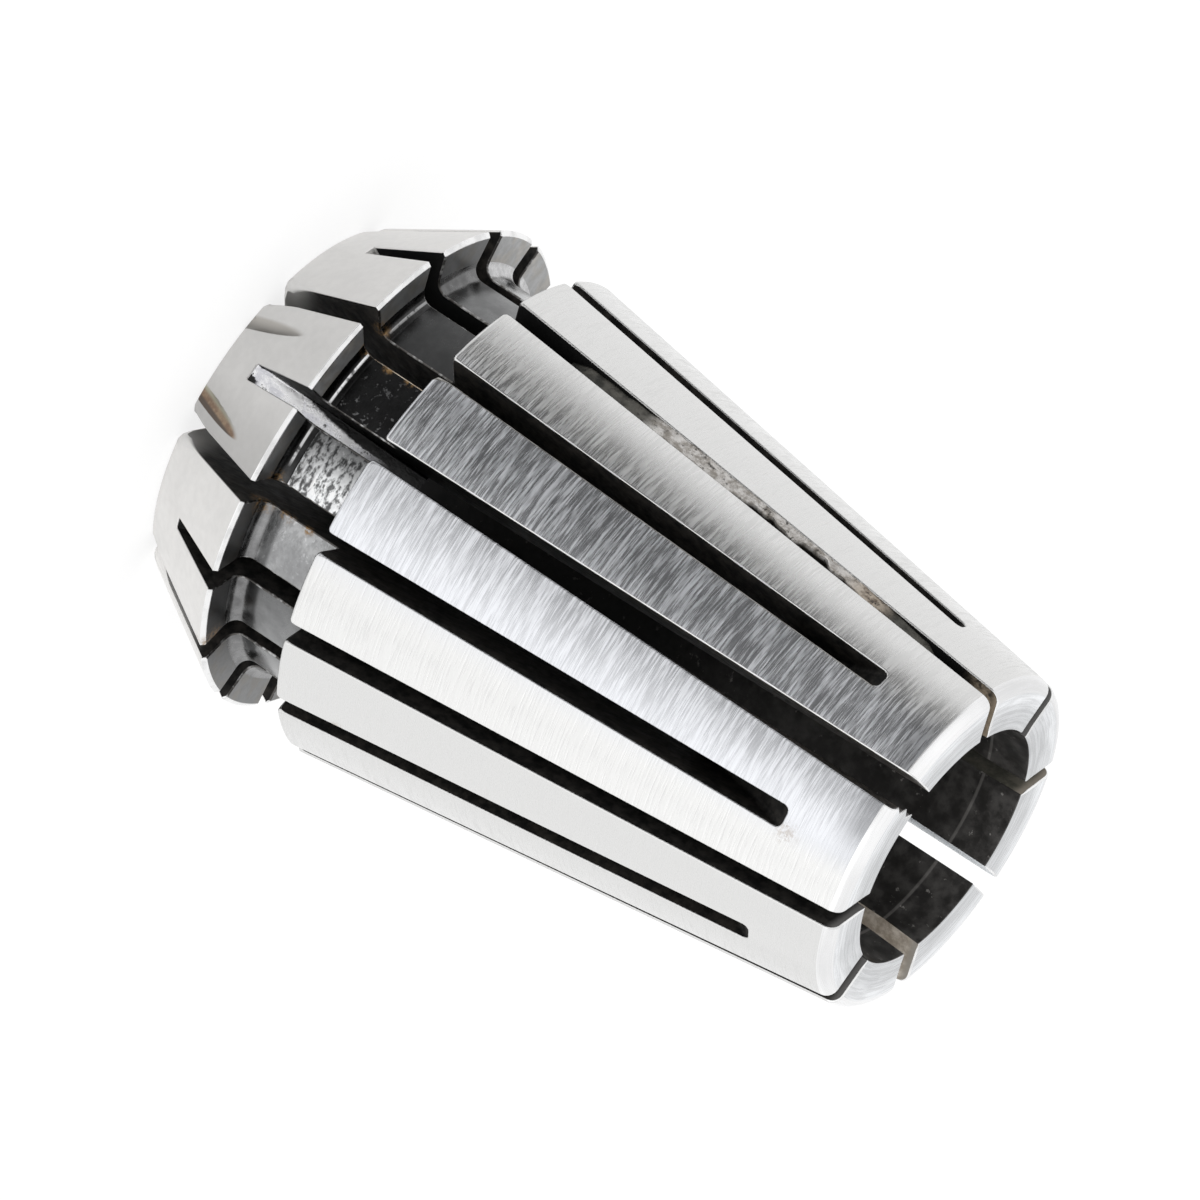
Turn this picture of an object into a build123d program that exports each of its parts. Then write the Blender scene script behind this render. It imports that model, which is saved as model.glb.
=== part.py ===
from build123d import *
import os
from math import radians, sqrt, tan

# A size 20 spring collet with a 10 mm bore. It stands on the front face of its head, with its
# axis on Z and its small end up. The origin is the middle of the front face, and one of the
# slots that open at the small end faces -Y. Lengths are in millimetres, angles in degrees.

# Lengths along the axis
overall_length = 32.0
head_length = 4.8
groove_width = 3.5
bore_mouth_depth = 1.7

# Diameters and cone angles. The nominal diameter is that of the head's rim and of the body's
# large end.
nominal_diameter = 21.0
head_cone_half_angle = 30.0
groove_diameter = 17.4
body_taper_half_angle = 8.0
bore_diameter = 10.0
bore_mouth_flare = 0.1

# Edges and corners
front_edge_round = 0.6
bore_entry_chamfer = 0.4
head_edge_break = 0.15
body_edge_break = 0.1
groove_fillet = 0.5
small_end_round = 0.5

# Saw slots, cut in turn from the front face and from the small end
slots_from_each_end = 8
first_slot_angle = -90.0
slot_width = 0.9
saw_radius = 20.0
saw_past_bore_wall = 1.0
head_stop = 1.75
small_end_stop = 3.35
slot_tip_round = 0.25

# How far each finger has sprung sideways at the small end, in turn from the slot that faces -Y
finger_set = (-0.08, -0.26, -0.30, -0.02, 0.13, 0.07, -0.18, -0.59)

# Two nicks that a V-edged wheel left on the head cone, beside the slot that faces -Y
nick_wheel_radius = 25.0
nick_wheel_half_angle = 60.0
nick_wheel_rim = 1.0
nick_depth = 0.17
nick_heights = (0.3, 0.5)
nick_angles = (-11.25, 12.9)
nick_skews = (5.5, -8.5)

# How far the cutters run out past the blank, and how close two corners count as one place
clearance = 1.0
same_place = 0.001

# Sizes that follow from the ones above
rim_radius = nominal_diameter / 2
groove_radius = groove_diameter / 2
bore_radius = bore_diameter / 2
body_start = head_length + groove_width
head_cone_top = head_length - head_edge_break
slot_half_width = slot_width / 2
slot_floor_radius = bore_radius - saw_past_bore_wall
saw_axis_radius = slot_floor_radius + saw_radius
cut_reach = rim_radius - slot_floor_radius + clearance
slot_step = 360 / slots_from_each_end


def head_cone_radius(height):
    return rim_radius - (head_cone_top - height) * tan(radians(head_cone_half_angle))


def body_taper_radius(height):
    return rim_radius - (height - body_start) * tan(radians(body_taper_half_angle))


def turned_blank():
    """The turned and bored blank, before it is slotted."""
    section = Polyline(
        (bore_radius + bore_entry_chamfer, 0),
        (head_cone_radius(0), 0),
        (rim_radius, head_cone_top),
        (rim_radius - head_edge_break, head_length),
        (groove_radius, head_length),
        (groove_radius, body_start),
        (rim_radius - body_edge_break, body_start),
        (body_taper_radius(body_start + body_edge_break), body_start + body_edge_break),
        (body_taper_radius(overall_length), overall_length),
        (bore_radius + bore_mouth_flare, overall_length),
        (bore_radius, overall_length - bore_mouth_depth),
        (bore_radius, bore_entry_chamfer),
        close=True,
    )
    profile = make_face(Plane.XZ * section)
    front_edge = profile.vertices().group_by(Axis.Z)[0].sort_by(Axis.X)[-1]
    profile = fillet(front_edge, front_edge_round)
    groove_corner = profile.vertices().filter_by(
        lambda corner: abs(corner.X - groove_radius) < same_place
    ).sort_by(Axis.Z)[0]
    profile = fillet(groove_corner, groove_fillet)
    small_end_edge = profile.vertices().group_by(Axis.Z)[-1].sort_by(Axis.X)[-1]
    profile = fillet(small_end_edge, small_end_round)
    return revolve(profile, Axis.Z)


def finger_lean(finger, height):
    """Sideways place of a finger at a height: it bends at the groove and is straight above it."""
    bent_length = overall_length - body_start
    lean = finger_set[finger % slots_from_each_end % len(finger_set)]
    return lean * (height - body_start) / bent_length


def slot_plate(outline, tip_round=0.0):
    """A slot's plan, given as (sideways, height) points, run out from inside the bore."""
    plan = make_face(Polyline(*outline, close=True))
    if tip_round > 0:
        plan = fillet(plan.vertices().group_by(Axis.Y)[-1], tip_round)
    return extrude(Plane.YZ.offset(slot_floor_radius) * plan, amount=cut_reach)


def saw_sweep(stop_height, stop_radius, open_height):
    """What the saw passes through, from its rim at the blind end out past the open end."""
    way = 1 if open_height > stop_height else -1
    rim_run = sqrt(saw_radius**2 - (saw_axis_radius - stop_radius) ** 2)
    axis_height = stop_height + way * rim_run
    disc = Pos(saw_axis_radius, axis_height) * Circle(saw_radius)
    pass_length = abs(open_height - axis_height)
    middle = (slot_floor_radius + cut_reach / 2, (axis_height + open_height) / 2)
    straight = Pos(*middle) * Rectangle(cut_reach, pass_length)
    widest = slot_width + 2 * max(abs(lean) for lean in finger_set) + clearance
    return extrude(Plane.XZ * (disc + straight), amount=widest, both=True)


def small_end_slot(index):
    """A slot open at the small end, whose two walls follow the fingers on either side."""
    top = overall_length + clearance
    outline = (
        (-slot_half_width, 0),
        (slot_half_width, 0),
        (slot_half_width, body_start),
        (slot_half_width + finger_lean(index, top), top),
        (-slot_half_width + finger_lean(index - 1, top), top),
        (-slot_half_width, body_start),
    )
    sweep = saw_sweep(head_stop, head_cone_radius(head_stop), top)
    return slot_plate(outline) & sweep


def head_slot(index):
    """A slot open at the front face, which leans with the finger that it runs up into."""
    tip = overall_length - small_end_stop
    lean = finger_lean(index, tip)
    outline = (
        (-slot_half_width, -clearance),
        (slot_half_width, -clearance),
        (slot_half_width, body_start),
        (lean + slot_half_width, tip),
        (lean - slot_half_width, tip),
        (-slot_half_width, body_start),
    )
    sweep = saw_sweep(tip, body_taper_radius(tip), -clearance)
    return slot_plate(outline, slot_tip_round) & sweep


def nick_cutter(height, skew):
    """The rim of a V-edged wheel, which lies along the head cone and dips below its surface."""
    half_rim = nick_wheel_rim * tan(radians(nick_wheel_half_angle))
    edge = Polyline(
        (nick_wheel_radius, 0),
        (nick_wheel_radius - nick_wheel_rim, half_rim),
        (nick_wheel_radius - nick_wheel_rim, -half_rim),
        close=True,
    )
    wheel = Rot(X=90) * revolve(make_face(Plane.XZ * edge), Axis.Z)
    lift = nick_wheel_radius - nick_depth
    on_cone = Pos(head_cone_radius(height), 0, height) * Rot(Y=head_cone_half_angle)
    return on_cone * Rot(X=skew) * Pos(lift, 0, 0) * wheel


def collet():
    body = turned_blank()
    for index in range(slots_from_each_end):
        angle = first_slot_angle + index * slot_step
        body -= Rot(Z=angle) * small_end_slot(index)
        body -= Rot(Z=angle + slot_step / 2) * head_slot(index)
    for angle, height, skew in zip(nick_angles, nick_heights, nick_skews):
        body -= Rot(Z=first_slot_angle + angle) * nick_cutter(height, skew)
    return body


os.makedirs("parts", exist_ok=True)
export_step(collet(), "parts/collet.step")
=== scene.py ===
from math import cos, pi, radians, sin, sqrt, tan

import bpy
import numpy as np
from mathutils import Matrix, Vector


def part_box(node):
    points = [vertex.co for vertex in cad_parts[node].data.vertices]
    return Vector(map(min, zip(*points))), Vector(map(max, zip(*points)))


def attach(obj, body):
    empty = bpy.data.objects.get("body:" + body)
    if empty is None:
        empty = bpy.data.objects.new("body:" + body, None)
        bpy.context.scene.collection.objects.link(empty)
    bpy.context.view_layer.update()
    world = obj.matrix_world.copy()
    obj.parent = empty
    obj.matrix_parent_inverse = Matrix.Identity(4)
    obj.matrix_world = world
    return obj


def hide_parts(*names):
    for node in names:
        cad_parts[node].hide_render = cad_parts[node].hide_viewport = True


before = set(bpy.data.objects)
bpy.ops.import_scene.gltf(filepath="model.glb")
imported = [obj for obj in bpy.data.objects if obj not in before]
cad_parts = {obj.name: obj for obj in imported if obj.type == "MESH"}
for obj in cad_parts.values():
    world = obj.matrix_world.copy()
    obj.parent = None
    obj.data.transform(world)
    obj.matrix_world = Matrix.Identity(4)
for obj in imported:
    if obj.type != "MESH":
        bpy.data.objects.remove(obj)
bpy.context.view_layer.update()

MM = 0.001
UP = np.array((0.0, 0.0, 1.0))

# ---- sizes, in millimetres

low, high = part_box("collet")
HEIGHT = (high.z - low.z) / MM
# Radii of the head's rim, the groove and the bore
RIM = 10.5
GROOVE = 8.7
BORE = 5.0
# Heights where the head's cone ends, the groove starts and the body starts
CONE_TOP = 4.65
HEAD = 4.8
BODY = 8.3
RIM_BREAK = 0.15
CONE_HALF_ANGLE = radians(30)
CONE_SLOPE = tan(CONE_HALF_ANGLE)
TAPER_SLOPE = tan(radians(8))
MOUTH_DEPTH = 1.7
MOUTH_FLARE = 0.1
ENTRY = 0.4

# Even slots are open at the small end and blind in the head, odd ones the other way round.
SLOTS = 16
STEP = 2 * pi / SLOTS
FIRST_SLOT = -pi / 2
HALF_SLOT = 0.45
SAW = 20.0
SAW_AXIS = 24.0
HEAD_STOP = 1.75
BODY_STOP = HEIGHT - 3.35
FINGER_SET = (-0.08, -0.26, -0.3, -0.02, 0.13, 0.07, -0.18, -0.59)
# How far a run-out's side is drawn in at its blind end, by (slot, side), and over what length
RUNOUT_PINCH = {(0, -1): 0.2, (14, 1): -0.3, (2, -1): 0.2, (2, 1): -0.2}
PINCH_LENGTH = 2.9
# The run-out whose floor is ridged, so that it shines to the front, and where its ridges face
RIDGED_SLOT = 0
RIDGE_TILT = radians(3)
# How some slots' sides differ from their fingers' lean, by (slot, side): where the body starts
# and at the small end
SIDE_SET = {
    (6, -1): (0.0, 0.18), (6, 1): (0.0, -0.06), (8, -1): (0.0, 0.23), (8, 1): (0.0, -0.04),
    (10, -1): (0.0, 0.09), (10, 1): (0.0, -0.08), (13, -1): (0.15, 0.3), (15, 1): (0.0, -0.12),
}
# A ragged lip turned over on a finger's corner at the small end: where, how far, how high and deep
LIP_PLACE = (0, 1)
LIP = -0.4
LIP_HEIGHT = 0.6
LIP_DEPTH = 1.9

TIP_ROUND = 0.25
RUNOUT_ROUND = 0.06
# Edge breaks of the slots on the outside and in the bore
OUTER_BREAK = 0.07
BORE_BREAK = 0.03
# How round the fingers' corners at the body's large end have worn, and some by (slot, side)
CORNER_WEAR = 0.17
CORNER_WEARS = {
    (15, 1): 0.32, (0, 1): 0.26, (0, -1): 0.14, (14, -1): 0.12, (14, 1): 0.2, (1, 1): 0.22,
}
RIM_ROWS = (0.2, 0.29, 0.4, 0.55)
# How round the mouths of the odd slots in the head have worn, and how far up the cone
MOUTH_WEAR = 0.42
MOUTH_REACH = 1.5

# Two nicks that a wheel's edge left on the head cone, each as turn, skew and height
NICKS = ((radians(-11.25), radians(5.5), 0.3), (radians(12.9), radians(-8.5), 0.5))
NICK_DEPTH = 0.16
NICK_RADIUS = 27.0
NICK_EDGE = 0.36

# Dried residue in the top of one slot: by height how deep its top lies, and how wide a crack is
# open beside it
CRUST_SLOT = 14
CRUST_TOP = (
    (11.2, 0.6), (12.0, 0.25), (15.0, 0.1), (16.0, 0.02), (24.5, 0.02), (26.0, 0.06),
    (27.5, 0.12), (28.6, 0.25), (29.4, 0.8),
)
CRUST_CRACK = (
    (11.2, 0.0), (19.2, 0.0), (20.3, 0.22), (21.2, 0.36), (22.0, 0.16), (22.8, 0.3),
    (24.2, 0.38), (24.8, 0.14), (25.6, 0.0), (29.4, 0.0),
)
CRUST_STEP = 0.1
CRUST_ACROSS = 8
CRUST_THICK = 0.5
CRUST_ROUGH = 0.03
# How far the residue goes into the walls that it sticks to
CRUST_BITE = 0.02


def cone_radius(z):
    return RIM - (CONE_TOP - z) * CONE_SLOPE


def taper_radius(z):
    return RIM - (z - BODY) * TAPER_SLOPE


def axes(angle):
    """Directions out from the part's axis and round it, at one angle or many."""
    c, s = np.cos(angle), np.sin(angle)
    return np.stack([c, s, 0 * s], -1), np.stack([-s, c, 0 * s], -1)


# ---- the turned profile

# Corners of the turned section, from the front face out over the head, the groove and the body and
# back down the bore: radius, height, rounding, the rounding's surface if it has one of its own, and
# the surface that follows with its row spacing
CORNERS = (
    (BORE + ENTRY, 0.0, 0.1, None, "front", 0.6),
    (cone_radius(0.0), 0.0, 0.6, None, "cone", 0.16),
    (RIM, CONE_TOP, 0.03, "rim", "rim", 0.1),
    (RIM - RIM_BREAK, HEAD, 0.08, "rim", "shoulder", 0.4),
    (GROOVE, HEAD, 0.5, "fillet", "groove", 0.35),
    (GROOVE, BODY, 0.1, None, "face", 0.4),
    (RIM, BODY, 0.13, "body_rim", "body", 0.5),
    (taper_radius(HEIGHT), HEIGHT, 0.5, "round", "end", 0.35),
    (BORE + MOUTH_FLARE, HEIGHT, 0.08, None, "mouth", 0.6),
    (BORE, HEIGHT - MOUTH_DEPTH, 0.3, None, "bore", 1.0),
    (BORE, ENTRY, 0.1, None, "entry", 0.3),
)
ARC_STEP = radians(16)


def turned_by(vector, angle):
    """A vector in the section's plane, turned by an angle."""
    c, s = cos(angle), sin(angle)
    return np.array((c * vector[0] - s * vector[1], s * vector[0] + c * vector[1]))


def corner_arc(index):
    """Points and normals of one rounded corner, and where the straight runs meet it."""
    nearby = (CORNERS[n % len(CORNERS)][:2] for n in (index - 1, index, index + 1))
    before, here, after = (np.array(corner) for corner in nearby)
    rounding = CORNERS[index][2]
    come = (here - before) / np.linalg.norm(here - before)
    go = (after - here) / np.linalg.norm(after - here)
    turn = np.arctan2(come[0] * go[1] - come[1] * go[0], come @ go)
    steps = max(2, int(round(abs(turn) / ARC_STEP)))
    start = here - come * (rounding * tan(abs(turn) / 2))
    side = np.array((-come[1], come[0])) * np.sign(turn)
    points, normals = [], []
    for step in range(steps + 1):
        angle = turn * step / steps
        points.append(start + side * rounding + turned_by(-side * rounding, angle))
        way = turned_by(come, angle)
        normals.append(np.array((way[1], -way[0])))
    return points, normals


def profile_path():
    """The section as closely spaced samples: place, normal and surface."""
    samples = []
    for index, (_, _, _, own, name, spacing) in enumerate(CORNERS):
        points, normals = corner_arc(index)
        for step, (p, n) in enumerate(zip(points, normals)):
            owner = name if step * 2 >= len(points) else CORNERS[index - 1][4]
            if own and step < len(points) - 1:
                owner = own
            samples.append((p, n, owner))
        ahead, _ = corner_arc((index + 1) % len(CORNERS))
        run = ahead[0] - points[-1]
        parts = max(1, int(round(np.linalg.norm(run) / spacing)))
        for part in range(1, parts):
            samples.append((points[-1] + run * part / parts, normals[-1], name))
    return samples


path = profile_path()
path_name = [s[2] for s in path]
path_point = np.array([s[0] for s in path + path[:1]])
path_normal = np.array([s[1] for s in path + path[:1]])
path_s = np.concatenate([[0], np.cumsum(np.linalg.norm(np.diff(path_point, axis=0), axis=1))])
LOOP = path_s[-1]


def at(s):
    """Radius, height and normal of the section at distances along it."""
    s = np.mod(s, LOOP)
    parts = [np.interp(s, path_s, column) for column in (*path_point.T, *path_normal.T)]
    size = np.hypot(parts[2], parts[3])
    return parts[0], parts[1], parts[2] / size, parts[3] / size


def along(name, height):
    """Distance along the section at which a surface is at a height."""
    found = [i for i, n in enumerate(path_name) if n == name]
    heights = path_point[found, 1]
    order = np.argsort(heights)
    return float(np.interp(height, heights[order], path_s[found][order]))


# ---- where the slots end


def saw_run(radius):
    """How far along the part the saw's rim is from its axis, where it is at a radius."""
    return sqrt(SAW**2 - (SAW_AXIS - radius) ** 2)


# A blind end's rows, in shares of its round and edge break, and how far plain rows keep off them
TIP_ROWS = (0.0, 0.35, 0.75, 1.5)
TIP_MARGIN = 0.08


class Tip:
    """One blind end of a slot where it meets a surface: its rows, round and edge break."""

    def __init__(self, name, height, away, rounding, edge):
        self.away = away
        self.rounding = rounding
        self.edge = edge
        self.start = along(name, height) - away * rounding
        self.rows = [self.start + away * share * (rounding + edge) for share in TIP_ROWS]

    def clear(self, s):
        """Whether a plain row keeps off this tip's own rows."""
        margin = self.away * TIP_MARGIN
        lo, hi = sorted((self.rows[0] - margin, self.rows[3] + margin))
        return not lo < s < hi


# For even and for odd slots: the height of the saw's axis, which way along the part the slot runs
# from its blind end, that end's radius, and its tips outside and in the bore
SAW_LOW = HEAD_STOP + saw_run(cone_radius(HEAD_STOP))
SAW_HIGH = BODY_STOP - saw_run(taper_radius(BODY_STOP))
ENDS = ((SAW_LOW, 1, cone_radius(HEAD_STOP)), (SAW_HIGH, -1, taper_radius(BODY_STOP)))
TIPS = (
    (Tip("cone", HEAD_STOP, -1, RUNOUT_ROUND, OUTER_BREAK),
     Tip("bore", SAW_LOW - saw_run(BORE), 1, RUNOUT_ROUND, BORE_BREAK)),
    (Tip("body", BODY_STOP, 1, TIP_ROUND, OUTER_BREAK),
     Tip("bore", SAW_HIGH + saw_run(BORE), -1, TIP_ROUND, BORE_BREAK)),
)
all_tips = TIPS[0] + TIPS[1]
rim_found = [i for i, n in enumerate(path_name) if n == "body_rim"]
rim_middle = (path_s[rim_found[0]] + path_s[rim_found[-1] + 1]) / 2
mouth_middle = along("cone", 0.5) - 0.25
row_s = [s for s in path_s[:-1] if all(tip.clear(s) for tip in all_tips)]
row_s += [rim_middle + step * sign for step in RIM_ROWS for sign in (-1, 1)]
row_s = np.array(sorted(row_s + [s for tip in all_tips for s in tip.rows]))
ROWS = len(row_s)


# The rows on which even and odd slots end, outside and in the bore
OPEN_ROWS = [[int(np.argmin(np.abs(row_s - tip.rows[0]))) for tip in pair] for pair in TIPS]

# ---- columns round the part

BAND = (-1.0, -0.925, -0.72, -0.44, 0.0, 0.44, 0.72, 0.925, 1.0)
STRIP = 12
FINE_STRIP = 36
FINE_STRIPS = (15, 0)

# Columns in turn, as (role, slot, value): a band goes across a slot, an edge is in the edge break
# on a side of it, and a strip lies between two slots
columns = []
for slot in range(SLOTS):
    columns += [("band", slot, u) for u in BAND]
    columns += [("edge", slot, 1), ("edge", slot, 2)]
    count = FINE_STRIP if slot in FINE_STRIPS else STRIP
    columns += [("strip", slot, step / count) for step in range(1, count)]
    columns += [("edge", (slot + 1) % SLOTS, -2), ("edge", (slot + 1) % SLOTS, -1)]
COLUMNS = len(columns)
edge_columns = [j for j, column in enumerate(columns) if column[0] == "edge"]


def lean(slot, side, z):
    """Sideways spring of the metal on one side of a slot."""
    finger = slot // 2 if slot % 2 or side > 0 else slot // 2 - 1
    sprung = FINGER_SET[finger % 8] * np.maximum(z - BODY, 0) / (HEIGHT - BODY)
    sprung = sprung + np.interp(z, (HEAD, BODY, HEIGHT), (0, *SIDE_SET.get((slot, side), (0, 0))))
    pinch = RUNOUT_PINCH.get((slot, side), 0.0)
    return sprung + pinch * np.clip(1 - (z - HEAD_STOP) / PINCH_LENGTH, 0, 1)


def lean_across(slot, share, z):
    """Sideways spring across a slot, from 0 at its one side to 1 at its other."""
    return lean(slot, -1, z) * (1 - share) + lean(slot, 1, z) * share


def edge_break(s, slot, side):
    """Size of the round that breaks a slot's edge, which grows at the finger's worn corner."""
    radius, _, _, _ = at(s)
    share = np.clip((radius - BORE - 0.15) / 0.3, 0, 1)
    plain = BORE_BREAK + (OUTER_BREAK - BORE_BREAK) * share
    worn = CORNER_WEARS.get((slot, side), CORNER_WEAR)
    near = max(0.0, 1 - abs(s - rim_middle) / (worn * 1.9))
    if slot % 2 and abs(s - mouth_middle) < MOUTH_REACH:
        worn = MOUTH_WEAR
        near = (1 - abs(s - mouth_middle) / MOUTH_REACH) * share
    return plain + (worn - plain) * near**1.5


def tip_in_row(slot, row):
    """The tip of this slot that has a row of its own here, and which of its rows it is."""
    for tip in TIPS[slot % 2]:
        for index in range(3):
            if abs(row_s[row] - tip.rows[index]) < 1e-9:
                return tip, index
    return None, None


def is_open(slot, row):
    """Whether the slot is open at a row, its two end rows included."""
    outer, bore = OPEN_ROWS[slot % 2]
    if slot % 2:
        return row >= bore or row <= outer
    return outer <= row <= bore


# How far down a quarter round its middle lies
QUARTER = 1 - sqrt(0.5)
# How far the two edge columns have turned round a tip's corner on the tip's three rows, in shares
TIP_TURNS = ((0.0, 0.0), (0.5, 0.25), (0.75, 0.5))


def slot_vertex(slot, row, role, value):
    """Sideways place, distance along the section, depth, tilt and tilt direction of a vertex."""
    s = row_s[row]
    side = np.sign(value)
    tip, index = tip_in_row(slot, row)
    if tip is None:
        edge = float(edge_break(s, slot, int(side)))
        bent = is_open(slot, row) and abs(value) == 1
        if role == "band":
            return value * HALF_SLOT, s, edge * bent, 1.0 * bent, (-side, 0)
        out = (QUARTER, 1.0)[abs(value) - 1] * edge
        return side * (HALF_SLOT + out), s, edge * QUARTER * bent, 0.5 * bent, (-side, 0)
    edge = tip.edge
    flat = HALF_SLOT - tip.rounding
    if role == "band":
        reach = tip.rounding + (0.0, QUARTER * edge, edge)[index]
        across = max(0.0, abs(value) * HALF_SLOT - flat)
        rise = sqrt(max(0.0, reach**2 - across**2))
        way = (-side * across / reach, -tip.away * rise / reach)
        deep = (edge, QUARTER * edge, 0.0)[index]
        return value * HALF_SLOT, tip.start + tip.away * rise, deep, (1.0, 0.5, 0.0)[index], way
    far = abs(value) - 1
    out = edge if index == 2 else (QUARTER * edge, edge)[far]
    reach = tip.rounding + out
    turn = np.arccos(tip.rounding / reach) * TIP_TURNS[index][far]
    deep = edge * (1 - sqrt(1 - (1 - out / edge) ** 2)) if out < edge else 0.0
    tilt = 0.5 if index < 2 and not far else 0.0
    way = (-side * cos(turn), -tip.away * sin(turn))
    place = side * (flat + reach * cos(turn))
    return place, tip.start + tip.away * reach * sin(turn), deep, tilt, way


def build_skin():
    """Vertices and normals of the whole turned surface, as arrays of rows by columns."""
    side, dist, deep, tilt, angle = np.zeros((5, ROWS, COLUMNS))
    way = np.zeros((ROWS, COLUMNS, 2))
    for j, (role, slot, value) in enumerate(columns):
        if role == "strip":
            continue
        for i in range(ROWS):
            made = slot_vertex(slot, i, role, value)
            side[i, j], dist[i, j], deep[i, j], tilt[i, j], way[i, j] = made
        r, z, _, _ = at(dist[:, j])
        shift = lean_across(slot, value * 0.5 + 0.5 if role == "band" else float(value > 0), z)
        if (slot, np.sign(value)) == LIP_PLACE:
            rise = np.clip((z - HEIGHT + LIP_HEIGHT) / LIP_HEIGHT, 0, 1)
            rise = rise * (0.85 + 0.3 * np.sin(7 * z + 9 * r))
            inward = np.clip((taper_radius(HEIGHT) + 0.1 - r) / LIP_DEPTH, 0, 1)
            shift = shift + LIP * rise**2 * inward**0.7
        angle[:, j] = FIRST_SLOT + slot * STEP + np.arcsin((side[:, j] + shift) / r)
    for j, (role, slot, value) in enumerate(columns):
        if role != "strip":
            continue
        left = max(c for c in edge_columns if c < j)
        right = min(c for c in edge_columns if c > j)
        one, two = angle[:, left], angle[:, right]
        angle[:, j] = one + np.mod(two - one, 2 * pi) * value
        dist[:, j] = row_s
        for column, share in ((left, value), (right, 1 - value)):
            dist[:, j] += (dist[:, column] - row_s) * max(0.0, 1 - share * 3) ** 2
    r, z, nr, nz = (part[..., None] for part in at(dist))
    radial, across = axes(angle)
    normal = radial * nr + UP * nz
    onward = -radial * nz + UP * nr
    place = radial * r + UP * z - normal * deep[..., None]
    toward = across * way[..., :1] + onward * way[..., 1:]
    turn = (tilt * pi / 2)[..., None]
    return place, normal * np.cos(turn) + toward * np.sin(turn)


def nick_frame(turn, skew, height):
    """Directions across, along and out of a nick, and its middle."""
    radial, across = axes(FIRST_SLOT + turn)
    out = radial * cos(CONE_HALF_ANGLE) - UP * sin(CONE_HALF_ANGLE)
    onward = radial * sin(CONE_HALF_ANGLE) + UP * cos(CONE_HALF_ANGLE)
    wide = across * cos(skew) + onward * sin(skew)
    long = onward * cos(skew) - across * sin(skew)
    return wide, long, out, radial * cone_radius(height) + UP * height


def cut_nicks(place, normal):
    """Lower the skin onto the two hollow nicks."""
    for nick in NICKS:
        wide, long, out, origin = nick_frame(*nick)
        local = place - origin
        x, y, h = local @ wide, local @ long, local @ out
        level = NICK_RADIUS - NICK_DEPTH - np.sqrt(np.maximum(NICK_RADIUS**2 - y**2, 0))
        level = level + x**2 / (2 * NICK_EDGE)
        cut = ((h > level) & (h < 1) & (np.abs(x) < 1) & (np.abs(y) < 4))[..., None]
        slope = out - x[..., None] / NICK_EDGE * wide - y[..., None] / NICK_RADIUS * long
        slope = slope / np.linalg.norm(slope, axis=-1)[..., None]
        place = np.where(cut, place + out * (level - h)[..., None], place)
        normal = np.where(cut, slope, normal)
    return place, normal


place, normal = cut_nicks(*build_skin())

# ---- faces

vertices = [tuple(p) for p in place.reshape(-1, 3)]
faces = []
loop_normals = []
# Each face's surface, its slot, and its side of the slot if in an edge break, TIP_EDGE at a blind
# end, or else 0
face_kind = []
TIP_EDGE = 2

middles = (row_s + np.append(row_s[1:], LOOP)) / 2
surface_of_row = [path_name[n - 1] for n in np.searchsorted(path_s, middles, side="right")]


def add_face(corners, normals, kind):
    """A face whose winding is turned, if need be, to agree with its normals."""
    points = np.array([vertices[corner] for corner in corners])
    points = points[1:] - points[0]
    if np.cross(points[:-1], points[1:]).sum(axis=0) @ np.sum(normals, axis=0) < 0:
        corners, normals = corners[::-1], normals[::-1]
    faces.append(tuple(corners))
    loop_normals.extend(tuple(n) for n in normals)
    face_kind.append(kind)


def add_grid(index, normals, kind):
    """Four-sided faces between the rows of a grid of vertices."""
    for n in range(len(index) - 1):
        for m in range(len(index[0]) - 1):
            spots = ((n, m), (n, m + 1), (n + 1, m + 1), (n + 1, m))
            add_face([index[a][b] for a, b in spots], [normals[a][b] for a, b in spots], kind)


def on_tip(slot, *rows):
    """Whether rows all belong to one of a slot's blind ends."""
    return all(tip_in_row(slot, row)[0] is not None for row in rows)


def skin_faces():
    for i in range(ROWS):
        i2 = (i + 1) % ROWS
        for j in range(COLUMNS):
            j2 = (j + 1) % COLUMNS
            role, slot, value = columns[j]
            role2, slot2, value2 = columns[j2]
            inside = role == "band" and role2 == "band"
            if inside and is_open(slot, i) and is_open(slot, i2):
                continue
            spots = ((i, j), (i, j2), (i2, j2), (i2, j))
            beside = slot if role != "strip" else slot2
            edge = "edge" in (role, role2) and "strip" not in (role, role2)
            edge = edge and all(is_open(beside, row) or on_tip(beside, row) for row in (i, i2))
            side = int(np.sign(value + value2)) * edge
            if inside and on_tip(slot, i, i2):
                side = TIP_EDGE
            add_face([a * COLUMNS + b for a, b in spots], [normal[spot] for spot in spots],
                     (surface_of_row[i], slot, side))


def slot_rows(slot):
    """Rows of an open slot in turn, from its outer blind end round to the one in the bore."""
    outer, bore = OPEN_ROWS[slot % 2]
    if slot % 2:
        return list(range(outer, -1, -1)) + list(range(ROWS - 1, bore - 1, -1))
    return list(range(outer, bore + 1))


FLOOR_ROWS = 14


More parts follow.
